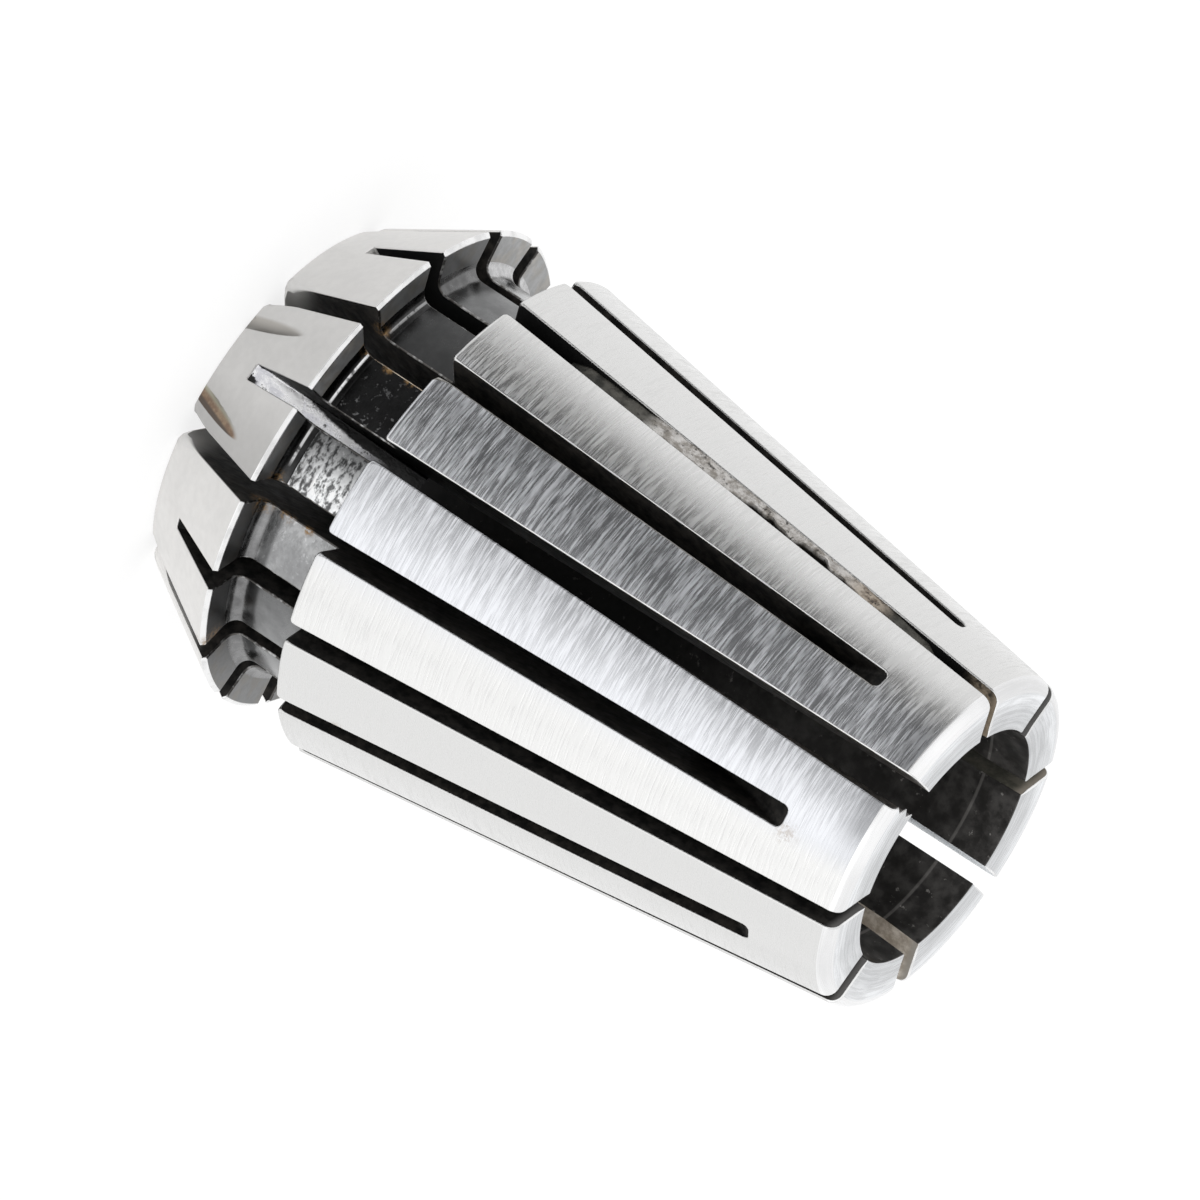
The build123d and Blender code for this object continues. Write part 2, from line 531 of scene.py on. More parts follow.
def slot_floor(slot, first, last):
    """The run-out floor that the saw's rim left. Gives its rows of vertices."""
    saw_height, way, stop_radius = ENDS[slot % 2]
    rounding = TIPS[slot % 2][0].rounding
    radial, across = axes(FIRST_SLOT + slot * STEP)
    index, normals = [first], []
    for step in range(FLOOR_ROWS + 1):
        rho = stop_radius + (BORE - stop_radius) * step / FLOOR_ROWS
        z_arc = saw_height - way * saw_run(rho)
        spoke = radial * (SAW_AXIS - rho) + UP * (saw_height - z_arc)
        if slot == RIDGED_SLOT:
            spoke = radial * cos(RIDGE_TILT) + UP * sin(RIDGE_TILT)
        spoke /= np.linalg.norm(spoke)
        line, line_normals = [], []
        for u in BAND:
            extra = max(0.0, abs(u) * HALF_SLOT - (HALF_SLOT - rounding))
            z = z_arc + way * (rounding - sqrt(rounding**2 - extra**2))
            shift = lean_across(slot, u * 0.5 + 0.5, z)
            if 0 < step < FLOOR_ROWS:
                vertices.append(tuple(radial * rho + across * (u * HALF_SLOT + shift) + UP * z))
                line.append(len(vertices) - 1)
            bent = extra / rounding
            line_normals.append(spoke * sqrt(max(0.0, 1 - bent**2)) - np.sign(u) * across * bent)
        if line:
            index.append(line)
        normals.append(line_normals)
    index.append(last)
    add_grid(index, normals, ("runout", slot, 0))
    return index


def slot_inside(slot):
    """The saw's run-out floor and the two walls of a slot."""
    _, across = axes(FIRST_SLOT + slot * STEP)
    band = [j for j, column in enumerate(columns) if column[:2] == ("band", slot)]
    rows = slot_rows(slot)
    index = slot_floor(slot, *([row * COLUMNS + j for j in band] for row in (rows[0], rows[-1])))
    for side, j in ((-1, 0), (1, -1)):
        rim = [row * COLUMNS + band[j] for row in rows]
        ring = rim + [line[j] for line in index[1:-1]][::-1]
        spots = np.array([vertices[v] for v in ring])
        heights, radii = spots[:, 2], np.hypot(spots[:, 0], spots[:, 1])
        # The wall is folded where the body starts to lean, from the groove's corner to the bore.
        outside = [n for n in range(len(rim)) if radii[n] > BORE + 1]
        fold_rim = min(outside, key=lambda n: abs(heights[n] - BODY) + abs(radii[n] - GROOVE))
        within = [n for n in range(len(rim if slot % 2 else ring)) if radii[n] < BORE + 0.6]
        fold_bore = min(within, key=lambda n: abs(heights[n] - BODY))
        slope = lean(slot, side, HEIGHT) / (HEIGHT - BODY)
        for part in (ring[fold_rim:fold_bore + 1], ring[fold_bore:] + ring[:fold_rim + 1]):
            bent = np.mean([vertices[v][2] for v in part]) > BODY
            facing = -side * (across - UP * slope * bent)
            add_face(part, [facing / np.linalg.norm(facing)] * len(part), ("wall", slot, 0))


def rough_rows(count, across, seed):
    """Smooth random heights from -1 to 1, as rows along a slot by points across it."""
    grid = np.random.default_rng(seed).uniform(-1, 1, (count + 4, across))
    return (grid[:-4] + 2 * grid[1:-3] + 3 * grid[2:-2] + 2 * grid[3:-1] + grid[4:]) / 5


def add_crust():
    """A closed lump along the slot, from its far wall to its near one or to the crack there."""
    heights = np.arange(CRUST_TOP[0][0], CRUST_TOP[-1][0], CRUST_STEP)
    bumps = rough_rows(len(heights), CRUST_ACROSS + 1, 11)
    cracks = rough_rows(len(heights), 1, 5)[:, 0]
    radial, across = axes(FIRST_SLOT + CRUST_SLOT * STEP)
    rings = []
    for n, z in enumerate(heights):
        top = np.interp(z, *np.array(CRUST_TOP).T)
        crack = np.interp(z, *np.array(CRUST_CRACK).T) * (1 + 0.5 * cracks[n])
        near = HALF_SLOT + float(lean(CRUST_SLOT, 1, z)) - crack + CRUST_BITE * (crack < 0.01)
        far = -HALF_SLOT + float(lean(CRUST_SLOT, -1, z)) - CRUST_BITE
        ring = [(far + (near - far) * m / CRUST_ACROSS, top + CRUST_ROUGH * (1 + bumps[n, m]))
                for m in range(CRUST_ACROSS + 1)]
        ring += [(near - 0.03, top + CRUST_THICK), (far, top + CRUST_THICK)]
        rings.append([radial * (taper_radius(z) - d) + across * x + UP * z for x, d in ring])
    rings = np.array(rings)
    rows, count = rings.shape[:2]
    index = len(vertices) + np.arange(rows * count).reshape(rows, count)
    vertices.extend(tuple(p) for p in rings.reshape(-1, 3))
    round_it = np.roll(rings, -1, axis=1) - np.roll(rings, 1, axis=1)
    facing = np.cross(np.gradient(rings, axis=0), round_it)
    outward = rings - rings.mean(axis=1, keepdims=True)
    facing *= np.sign((facing * outward).sum(axis=(1, 2)))[:, None, None]
    facing /= np.linalg.norm(facing, axis=2, keepdims=True)
    closed = np.append(np.arange(count), 0)
    kind = ("residue", CRUST_SLOT, 0)
    add_grid(index[:, closed].tolist(), facing[:, closed], kind)
    for row, way in ((0, -UP), (-1, UP)):
        add_face(index[row].tolist(), [way] * count, kind)


def add_object(name, data):
    made = bpy.data.objects.new(name, data)
    bpy.context.scene.collection.objects.link(made)
    return made


def add_mesh(name, points, polygons):
    made = bpy.data.meshes.new(name)
    made.from_pydata(points, [], polygons)
    return add_object(name, made)


skin_faces()
for slot in range(SLOTS):
    slot_inside(slot)
add_crust()

used = sorted({v for face in faces for v in face})
renumber = {v: n for n, v in enumerate(used)}
piece = add_mesh("collet_visual", [Vector(vertices[v]) * MM for v in used],
                 [[renumber[v] for v in face] for face in faces])
mesh = piece.data
mesh.update()
for polygon in mesh.polygons:
    polygon.use_smooth = True
mesh.normals_split_custom_set(loop_normals)


# ---- tones round the part

RUST_DARK = (0.1, 0.05, 0.025)
RUST_LIGHT = (0.42, 0.27, 0.12)
# Brown spots, as (place in slots from the one at -Y, height, radius, size)
RUST_SPOTS = (
    (-1.14, 4.9, 9.1, 0.6), (-0.86, 5.0, 9.1, 0.5), (-0.86, 6.0, 8.7, 0.35),
    (-0.86, 7.0, 8.7, 0.3), (0.86, 4.9, 9.1, 0.6), (1.14, 4.9, 9.1, 0.7),
    (1.15, 5.9, 8.7, 0.45), (1.15, 6.9, 8.7, 0.35), (2.88, 4.8, 10.0, 0.8),
)
BODY_RUST = ((1.12, 29.0, 7.75, 0.7), (2.9, 11.0, 10.1, 0.5))

# Lists of tones give (place in slots from the one at -Y, value), and go on evenly past their ends.
# The groove floor's tones round the part are partly its own grime and partly painted reflection and
# shade.
FLOOR_TONES = (
    (-5, 0.3), (-4.1, 0.45), (-3.05, 0.5), (-2.95, 0.2), (-2.05, 0.16), (-1.95, 0.07),
    (-1, 0.045), (-0.9, 0.014), (-0.1, 0.016), (0.1, 0.12), (0.35, 0.45), (0.65, 0.95),
    (0.95, 0.98), (1.05, 0.42), (1.95, 0.36), (2.05, 0.14), (2.5, 0.22), (2.95, 0.28),
    (3.05, 0.22), (3.9, 0.36), (5, 0.3),
)
# Where the groove's floor is pitted, has a band of painted dark reflection, and has bright flecks
FLOOR_PITTED = (
    (-1, 0.06), (-0.9, 0.2), (-0.1, 0.2), (0.1, 1), (0.95, 1), (1.05, 0.4), (1.5, 0.15),
    (2, 0.06),
)
FLOOR_DARK_REFLECTION = (
    (-4, 0), (-2, 0.5), (-1.9, 0), (1, 0), (1.1, 0.55), (2, 0.6), (2.1, 0.7),
    (4, 0.6), (7.9, 0),
)
FLOOR_FLECKS = (
    (-1.1, 0), (-0.9, 0.2), (-0.3, 0.6), (0.9, 0.6), (1.05, 1), (1.7, 0.5), (2, 0),
)
# The shoulder's and the fillet's tones round the part are partly their own grime and rust and
# partly painted reflection and shade.
SHOULDER_TONES = (
    (-8, 0.2), (-4, 0.42), (-3.05, 0.42), (-2.95, 0.16), (-2.05, 0.15), (-1.95, 0.17),
    (-1.05, 0.19), (-0.95, 0.28), (-0.05, 0.32), (0.05, 0.15), (0.95, 0.1), (1.05, 0.06),
    (2.95, 0.05), (3.05, 0.16), (4, 0.22), (7.9, 0.2),
)
FILLET_TONES = (
    (-8, 0.3), (-4, 0.5), (-3.05, 0.5), (-2.95, 0.17), (-2.05, 0.15), (-1.95, 0.06),
    (-1.05, 0.05), (-0.95, 0.02), (0.5, 0.03), (0.9, 0.06), (1.1, 0.22), (1.95, 0.2),
    (2.95, 0.2), (3.05, 0.18), (7.9, 0.3),
)
# The painted highlight line along the fillet, where light catches it, and how far up the fillet it
# lies
FILLET_HIGHLIGHT_TONES = (
    (-2, 0), (-1.9, 0.32), (-1.1, 0.38), (-0.95, 0), (-0.84, 0.95), (-0.2, 0.8),
    (-0.1, 0), (0.12, 0), (0.2, 0.6), (0.58, 0.5), (0.66, 0),
)
FILLET_LINE = 0.15
# The small end's round is painted brighter and darker round the part, as painted reflection.
ROUND_TONES = (
    (-8, 0.85), (-3, 0.78), (-2.2, 0.82), (-1.8, 0.92), (-0.9, 0.97), (0.9, 0.95),
    (1.2, 0.88), (3, 0.84), (5, 0.93), (7.9, 0.85),
)
# The head cone's tone round the part is painted reflection and shade: darker at the front, where
# the cone reflects the floor in the part's shadow.
CONE_TONES = (
    (-8, 0.76), (-4, 0.8), (-2.2, 0.76), (-1.1, 0.69), (-0.5, 0.63), (0.2, 0.65),
    (0.55, 0.55), (0.95, 0.48), (1.05, 0.75), (2, 0.79), (3, 0.82), (4, 0.95), (7.9, 0.76),
)
# How bright the ground body is painted round the part, as painted reflection and shade; how deep
# its grinding marks look, their strength round the part painted for how they catch light; where its
# small end is darker in streaks; and where its tint is warm
BODY_TONES = (
    (-2, 0.72), (-1.7, 0.75), (-1.3, 0.82), (-1.05, 0.95), (0, 0.98), (0.2, 0.92),
    (0.6, 0.92), (0.95, 0.88), (1.05, 0.79), (1.3, 0.8), (1.9, 0.84), (2.1, 0.76), (2.9, 0.76),
    (3.1, 0.73), (7.9, 0.72),
)
BODY_MARKS = (
    (-8, 0.04), (-1.8, 0.05), (-1.5, 0.08), (-1.2, 0.3), (-1.05, 0.5), (-0.9, 0.48),
    (0, 0.46), (0.2, 0.46), (0.5, 0.38), (0.95, 0.24), (1.05, 0.1), (1.3, 0.06), (1.5, 0.12),
    (1.8, 0.05), (7.9, 0.04),
)
BODY_DARK_END = ((-1.3, 0), (-0.9, 1), (0.6, 1), (0.9, 0.3), (1.3, 0))
BODY_WARM = ((-1.3, 1), (-0.9, 0), (1, 0), (1.3, 1))

# ---- materials


def sum_by(operation):
    """A method for Value that adds a math node."""
    return lambda self, other: self.surface.math(operation, self, other)


class Value:
    """A number, vector or colour in a material's node tree. Sums on it add math nodes."""

    __add__ = sum_by("ADD")
    __sub__ = sum_by("SUBTRACT")
    __mul__ = sum_by("MULTIPLY")
    __pow__ = sum_by("POWER")
    or_more = sum_by("MAXIMUM")

    def __init__(self, surface, socket):
        self.surface = surface
        self.socket = socket

    def __rsub__(self, other):
        return self.surface.math("SUBTRACT", other, self)

    def __abs__(self):
        return self.surface.math("ABSOLUTE", self)

    def span(self, low, high, to_low=0.0, to_high=1.0):
        """A smooth step between two values, as this one goes from low to high."""
        made = self.surface.node("ShaderNodeMapRange", self, low, high, to_low, to_high)
        made.interpolation_type = "SMOOTHSTEP"
        return Value(self.surface, made.outputs[0])


class Surface:
    """A material with its node tree, and short ways to add nodes to it."""

    def __init__(self, name, metallic=1.0, anisotropic=0.0):
        self.material = bpy.data.materials.new(name)
        self.material.use_nodes = True
        self.tree = self.material.node_tree
        self.shader = self.tree.nodes["Principled BSDF"]
        self.shader.inputs["Metallic"].default_value = metallic
        coordinate = self.node("ShaderNodeTexCoord").outputs["Object"]
        self.place = self.vector("SCALE", coordinate, scale=1 / MM)
        split = self.node("ShaderNodeSeparateXYZ", self.place)
        self.x, self.y, self.z = (Value(self, part) for part in split.outputs)
        self.radius = self.math("SQRT", self.x ** 2.0 + self.y ** 2.0)
        if anisotropic:
            self.shader.inputs["Anisotropic"].default_value = anisotropic
            self.shader.inputs["Anisotropic Rotation"].default_value = 0.25
            tangent = self.node("ShaderNodeTangent", direction_type="RADIAL", axis="Z")
            self.put(tangent.outputs[0], self.shader.inputs["Tangent"])

    def put(self, value, target):
        value = getattr(value, "socket", value)
        if isinstance(value, bpy.types.NodeSocket):
            self.tree.links.new(value, target)
        else:
            target.default_value = value

    def node(self, kind, *sockets, **settings):
        made = self.tree.nodes.new(kind)
        for name, value in settings.items():
            setattr(made, name, value)
        for index, value in enumerate(sockets):
            self.put(value, made.inputs[index])
        return made

    def math(self, operation, *sockets):
        made = self.node("ShaderNodeMath", *sockets, operation=operation)
        return Value(self, made.outputs[0])

    def vector(self, operation, first, second=(0.0, 0.0, 0.0), scale=None, out="Vector"):
        made = self.node("ShaderNodeVectorMath", first, second, operation=operation)
        if scale is not None:
            self.put(scale, made.inputs["Scale"])
        return Value(self, made.outputs[out])

    def texture(self, *values):
        made = self.node("ShaderNodeTexNoise")
        for name, value in zip(("Vector", "Scale", "Detail", "Roughness"), values):
            self.put(value, made.inputs[name])
        return Value(self, made.outputs["Fac"])

    def noise(self, scale, detail=2.0, rough=0.5):
        return self.texture(self.place, scale, detail, rough)

    def marks(self, around, along, offset=0.0, detail=2.0, rough=0.5):
        """Noise for marks that run round the part: long in x and y, fine along the section."""
        made = self.node("ShaderNodeCombineXYZ", self.x * around, self.y * around,
                         (self.z + self.radius) * along + offset)
        return self.texture(made.outputs[0], 1.0, detail, rough)

    def mix(self, share, one, two):
        made = self.node("ShaderNodeMix", share, data_type="RGBA")
        for index, value in ((6, one), (7, two)):
            self.put((*value, 1.0) if isinstance(value, tuple) else value, made.inputs[index])
        return Value(self, made.outputs[2])

    def tinted(self, value, tint):
        """A colour that is a value times a tint."""
        return self.vector("SCALE", tint, scale=value)

    def finish(self, colour, roughness, *heights):
        """Set the shader's colour, roughness and bump, as (value, size in millimetres) pairs."""
        self.put(colour, self.shader.inputs["Base Color"])
        self.put(roughness, self.shader.inputs["Roughness"])
        if heights:
            parts = [value * size for value, size in heights]
            made = self.node("ShaderNodeBump")
            self.put(1.0, made.inputs["Strength"])
            self.put(MM, made.inputs["Distance"])
            self.put(sum(parts[1:], parts[0]), made.inputs["Height"])
            self.put(made.outputs[0], self.shader.inputs["Normal"])
        return self.material

    def turn(self, start):
        """The angle round the part from a starting one."""
        return self.math("WRAP", self.math("ARCTAN2", self.y, self.x) - start, pi, -pi)

    def round_tone(self, tones):
        """A value that changes round the part by a list of tones."""
        made = self.node("ShaderNodeValToRGB", self.turn(FIRST_SLOT) * (0.5 / pi) + 0.5)
        elements = made.color_ramp.elements
        elements.remove(elements[-1])
        for index, (place, value) in enumerate(tones):
            spot = 0.5 + place / SLOTS
            element = elements.new(spot) if index else elements[0]
            element.position = spot
            element.color = (value, value, value, 1.0)
        return Value(self, made.outputs["Color"])

    def near(self, turn, height, radius, size):
        """1 at a place on the part, and 0 beyond a distance from it."""
        theta = FIRST_SLOT + turn * STEP
        spot = (radius * cos(theta), radius * sin(theta), height)
        return self.vector("DISTANCE", self.place, spot, out="Value").span(size, size * 0.25)

    def across(self, origin, way):
        """Distance from a point of the part, along a direction."""
        offset = self.vector("SUBTRACT", self.place, tuple(origin))
        return self.vector("DOT_PRODUCT", offset, tuple(way), out="Value")

    def nick(self, which):
        """1 inside a nick on the head cone, and the distance across it, from its own shape."""
        wide, long, _, origin = nick_frame(*NICKS[which])
        x = self.across(origin, wide)
        y = self.across(origin, long)
        fall = x ** 2.0 * (0.5 / NICK_EDGE) + y ** 2.0 * (0.5 / NICK_RADIUS)
        soft = x.span(-0.1, 0.15, NICK_DEPTH - 0.1, NICK_DEPTH - 0.02)
        return fall.span(NICK_DEPTH + 0.01, soft), x

    def rusted(self, colour, spots=RUST_SPOTS, strength=1.0):
        """A colour with brown spots over it."""
        total = self.near(*spots[0])
        for spot in spots[1:]:
            total = total.or_more(self.near(*spot))
        share = self.noise(5.0, 4.0, 0.7).span(0.42, 0.6, 0.0, strength) * total
        return self.mix(share, colour, self.mix(self.noise(9.0), RUST_DARK, RUST_LIGHT))


def ground_steel():
    m = Surface("ground_steel", anisotropic=0.5)
    long_marks = m.marks(0.35, 7.0, detail=3.0, rough=0.6)
    short_marks = m.marks(0.7, 15.0, 31.0, rough=0.55)
    fine_marks = m.marks(1.6, 24.0, 67.0)
    patches = m.marks(0.6, 1.2, 11.0)
    marks = short_marks.span(0.3, 0.76) ** 1.4 + long_marks.span(0.32, 0.72) * 0.4
    marks = marks + fine_marks.span(0.32, 0.74) * 0.5 + patches.span(0.3, 0.7) * 0.2
    marks = marks.span(0.2, 1.5)
    # Painted reflection and shade round the body; the marks' strength round the part is painted for
    # how they catch light.
    tone = m.round_tone(BODY_TONES) * (1.0 - (1.0 - marks) * m.round_tone(BODY_MARKS))
    # The small end darker in streaks.
    dark_end = m.z.span(HEIGHT - 1.9, HEIGHT - 0.6) * m.round_tone(BODY_DARK_END)
    tone = tone * (1.0 - dark_end * short_marks.span(0.3, 0.6, 0.15, 0.45))
    tint = m.mix(m.round_tone(BODY_WARM), (0.98, 0.995, 1.035), (1.0, 0.998, 0.99))
    return m.finish(m.rusted(m.tinted(tone, tint), BODY_RUST, 0.35),
                      marks * 0.26 + fine_marks * 0.08 + 0.15,
                      (long_marks, 0.012), (short_marks, 0.01), (fine_marks, 0.003))


def head_satin():
    m = Surface("head_satin", anisotropic=0.3)
    lines = m.marks(0.7, 14.0, 7.0)
    patches = m.noise(0.6, 3.0)
    mottle = m.noise(3.0, 3.0)
    dirty = m.noise(3.0, 4.0, 0.65)
    # Painted reflection and shade: the cone's tone round the part.
    tone = m.round_tone(CONE_TONES) * patches.span(0.25, 0.75, 0.96, 1.04)
    colour = m.tinted(tone * mottle.span(0.25, 0.75, 0.975, 1.025), (1.0, 0.988, 0.97))
    # Nick a: painted shade, lighter on its soft side and darker towards its crisp edge.
    inside, across = m.nick(0)
    shade = m.mix(across.span(-0.25, 0.25), (0.44, 0.42, 0.39), (0.17, 0.16, 0.145))
    colour = m.mix(inside * 0.9, colour, shade)
    # Nick b: a brown stain inside, with painted shade as a dark line along its crisp edge, and
    # greyer towards its soft side.
    inside, across = m.nick(1)
    shade = m.mix(dirty.span(0.35, 0.6), (0.3, 0.21, 0.13), (0.2, 0.12, 0.07))
    shade = m.mix(across.span(0.1, 0.2), shade, (0.08, 0.055, 0.04))
    shade = m.mix(across.span(0.0, -0.22), shade, (0.38, 0.37, 0.28))
    colour = m.mix(inside * 0.9, colour, shade)
    return m.finish(m.rusted(colour), patches.span(0.3, 0.7, 0.36, 0.44),
                      (lines, 0.003), (mottle, 0.004))


def bright_edge(name, dark, light):
    m = Surface(name)
    wear = m.noise(1.4, 3.0)
    colour = m.mix(wear.span(0.36, 0.6), dark, light)
    return m.finish(m.rusted(colour), wear.span(0.3, 0.7, 0.2, 0.32), (wear, 0.006))


def dull_edge():
    m = Surface("dull_edge")
    wear = m.noise(3.0, 4.0, 0.6)
    colour = m.mix(wear.span(0.45, 0.7), (0.1, 0.095, 0.09), (0.6, 0.6, 0.6))
    return m.finish(m.rusted(colour), wear.span(0.3, 0.7, 0.3, 0.45), (wear, 0.012))


def groove_shoulder():
    m = Surface("groove_shoulder", metallic=0.5)
    grime = m.noise(2.6, 4.0, 0.6)
    brown = m.noise(1.2, 3.0)
    # Partly the shoulder's own grime and partly painted reflection and shade round the part.
    tone = m.round_tone(SHOULDER_TONES) * grime.span(0.3, 0.7, 0.8, 1.2)
    tint = m.mix(brown.span(0.42, 0.6), (0.99, 1.0, 1.01), (1.0, 0.96, 0.9))
    return m.finish(m.rusted(m.tinted(tone, tint)), grime.span(0.3, 0.7, 0.3, 0.42),
                      (grime, 0.006))


def groove_fillet():
    m = Surface("groove_fillet")
    broken = m.marks(2.2, 1.0, detail=3.0, rough=0.6)
    grime = m.noise(2.0, 4.0, 0.6)
    # Partly the fillet's own grime and partly painted reflection and shade round the part.
    tone = m.round_tone(FILLET_TONES) * grime.span(0.3, 0.7, 0.75, 1.25)
    # A painted highlight: a thin, broken bright line along the fillet.
    line = abs(m.z - m.radius - (HEAD - GROOVE + FILLET_LINE)).span(0.1, 0.05)
    line = line * m.round_tone(FILLET_HIGHLIGHT_TONES) * broken.span(0.36, 0.5, 0.15, 1.0)
    colour = m.tinted(tone.or_more(line), (1.0, 1.0, 1.01))
    return m.finish(m.rusted(colour), grime.span(0.3, 0.7, 0.2, 0.3), (grime, 0.004))


def groove_floor():
    m = Surface("groove_floor")
    grime = m.noise(1.1, 4.0, 0.55)
    pits = m.marks(2.6, 4.6, detail=4.0, rough=0.65)
    flecks = m.noise(4.2, 3.0, 0.6)
    pitted = m.round_tone(FLOOR_PITTED)
    # Partly the floor's own grime and partly painted reflection and shade round the part.
    tone = m.round_tone(FLOOR_TONES) * grime.span(0.35, 0.65, 0.85, 1.15)
    tone = tone * (1.0 - pits.span(0.57, 0.4) * pitted * 0.85)
    # A painted dark reflection: a band along the floor beside the fillet.
    band = abs(m.z - 5.55).span(0.34, 0.12) * m.round_tone(FLOOR_DARK_REFLECTION)
    bright = flecks.span(0.6, 0.68) * m.round_tone(FLOOR_FLECKS)
    tone = tone * (1.0 - band) + bright * 0.16
    return m.finish(m.rusted(m.tinted(tone, (0.99, 1.0, 1.01))),
                      pitted * 0.16 + grime.span(0.3, 0.7, 0.18, 0.28),
                      (pits * pitted, 0.04), (grime, 0.006))


def turned_round():
    m = Surface("turned_round", anisotropic=0.3)
    lines = m.marks(0.25, 14.0, 3.0, detail=3.0, rough=0.6)
    # Painted reflection: the round's tone changes round the part.
    tone = m.round_tone(ROUND_TONES) * lines.span(0.3, 0.7, 0.93, 1.04)
    return m.finish(m.tinted(tone, (1.0, 1.0, 1.005)), lines.span(0.3, 0.7, 0.2, 0.32),
                      (lines, 0.006))


def turned_face():
    m = Surface("turned_face", anisotropic=0.3)
    lines = m.marks(0.5, 9.0, 3.0, detail=3.0, rough=0.6)
    patches = m.noise(0.9, 3.0)
    tone = lines.span(0.35, 0.65, 0.86, 1.1) * patches.span(0.3, 0.7, 0.95, 1.05)
    tone = tone * m.radius.span(5.8, 6.6, 0.62, 0.82)
    # A dark short line across one finger's end face.
    end_dark_line = abs(m.across((-6.25, 1.18, HEIGHT), (-0.42, 0.907, 0.0))).span(0.2, 0.12)
    end_dark_line = end_dark_line * m.near(-3.5, HEIGHT, 6.5, 0.9)
    colour = m.mix(end_dark_line, m.tinted(tone, (0.985, 1.0, 1.02)), (0.1, 0.1, 0.08))
    return m.finish(colour, lines.span(0.3, 0.7, 0.22, 0.34), (lines, 0.01))


def bore_dark():
    m = Surface("bore_dark", metallic=0.6)
    grime = m.noise(1.5, 5.0, 0.6)
    flecks = m.noise(2.6, 4.0, 0.65)
    # Painted shade: the bore's near-black tone, darker still deeper in from the small end.
    tone = grime.span(0.35, 0.7, 0.05, 0.13) + flecks.span(0.64, 0.7) * 0.3
    step = abs(m.z - (HEIGHT - MOUTH_DEPTH)).span(0.09, 0.03)
    tone = tone * m.z.span(15.0, 24.0, 0.12, 1.0) + step * 0.16
    return m.finish(m.tinted(tone, (1.0, 0.96, 0.92)), grime.span(0.3, 0.7, 0.3, 0.45),
                      (grime, 0.01), (flecks, 0.01))


# BLACK is painted shade, with some black grime, on the slots' walls and the run-out floors that
# take their look; PALE_WALL is painted light.
BLACK = (0.012, 0.012, 0.012)
PALE_WALL = (0.68, 0.67, 0.65)
WALL_GLOSS = 0.15


def sawn(name, dark, light, start=0.0, end=0.0, face=(0.2, 0.195, 0.19), mouth=False,
         beside_cone=False):
    """A sawn wall, whose light marks grow between two heights over black that is painted shade, and
    which is pale near its ends, with painted light at the head's mouth.
    """
    m = Surface(name, metallic=0.0)
    grime = m.noise(2.2, 5.0, 0.65)
    marks = m.marks(3.0, 3.0, 11.0, detail=4.0, rough=0.6)
    colour = m.mix(grime.span(0.35, 0.7), dark, light)
    if end:
        colour = m.mix(m.z.span(start, end), BLACK, colour)
    colour = m.mix(m.z.span(HEIGHT - 0.5, HEIGHT - 0.12, 0.0, 0.9), colour, face)
    # Painted light near the head's mouth, and just under the cone's edge.
    if mouth:
        lit = m.z.span(1.9, 0.5, 0.0, 0.95)
        if beside_cone:
            depth = m.z * CONE_SLOPE + (RIM - CONE_TOP * CONE_SLOPE) - m.radius
            lit = lit.or_more(depth.span(0.7, 0.1) * m.z.span(4.6, 3.0, 0.0, 0.9))
        colour = m.mix(lit, colour, PALE_WALL)
    m.shader.inputs["Specular IOR Level"].default_value = WALL_GLOSS
    return m.finish(m.rusted(colour), marks.span(0.3, 0.7, 0.45, 0.65),
                      (grime, 0.02), (marks, 0.01))


def sawn_floor(name, dark, light, front=False):
    """The floor that the saw's rim left, dark with painted shade where the slot is deep; on the
    front one also along one side, partly grime, and at its blind end's corners.
    """
    m = Surface(name, metallic=0.8)
    grime = m.marks(2.0, 2.6, detail=4.0, rough=0.6)
    crumbs = m.noise(4.5, 3.0, 0.6)
    colour = m.mix(grime.span(0.36, 0.58), dark, light)
    shade = m.z.span(5.0, 7.4)
    low, high = 0.4, 0.6
    if front:
        low, high = 0.18, 0.32
        side = crumbs * 0.2 + m.x - m.z.span(2.0, 6.5, -0.36, 0.14)
        ends = (crumbs * 0.6 + abs(m.x)).span(0.5, 0.56) * m.z.span(2.15, 2.0)
        shade = shade.or_more(side.span(0.08, -0.04)).or_more(ends)
        colour = m.mix(crumbs.span(0.62, 0.7), colour, (0.12, 0.12, 0.12))
    return m.finish(m.mix(shade, colour, (0.02, 0.02, 0.02)),
                      grime.span(0.3, 0.7, low, high), (grime, 0.02), (crumbs, 0.01))


def dried_residue():
    m = Surface("dried_residue", metallic=0.0)
    grain = m.noise(2.4, 6.0, 0.75)
    blotches = m.noise(1.3, 3.0)
    light = grain.span(0.38, 0.6)
    pale = m.mix(light, (0.34, 0.31, 0.275), (0.8, 0.775, 0.75))
    brown = m.mix(light, (0.16, 0.12, 0.09), (0.58, 0.5, 0.41))
    dark = m.mix(blotches.span(0.4, 0.6), (0.03, 0.03, 0.025), (0.12, 0.115, 0.1))
    colour = m.mix(m.z.span(24.2, 25.8), pale, brown)
    colour = m.mix(m.z.span(15.6, 14.8).or_more(m.z.span(26.0, 27.2)), colour, dark)
    specks = m.noise(3.6, 4.0, 0.65).span(0.56, 0.66) * blotches.span(0.42, 0.55, 0.2, 0.9)
    depth = m.z * -TAPER_SLOPE + (RIM + BODY * TAPER_SLOPE) - m.radius
    # Painted shade on the residue's side down in the crack.
    below = depth.span(0.1, 0.26) * m.z.span(26.5, 25.5) * m.z.span(15.0, 16.0)
    return m.finish(m.mix(specks.or_more(below), colour, (0.03, 0.025, 0.02)),
                      grain.span(0.3, 0.7, 0.6, 0.85), (grain, 0.05), (blotches, 0.03))


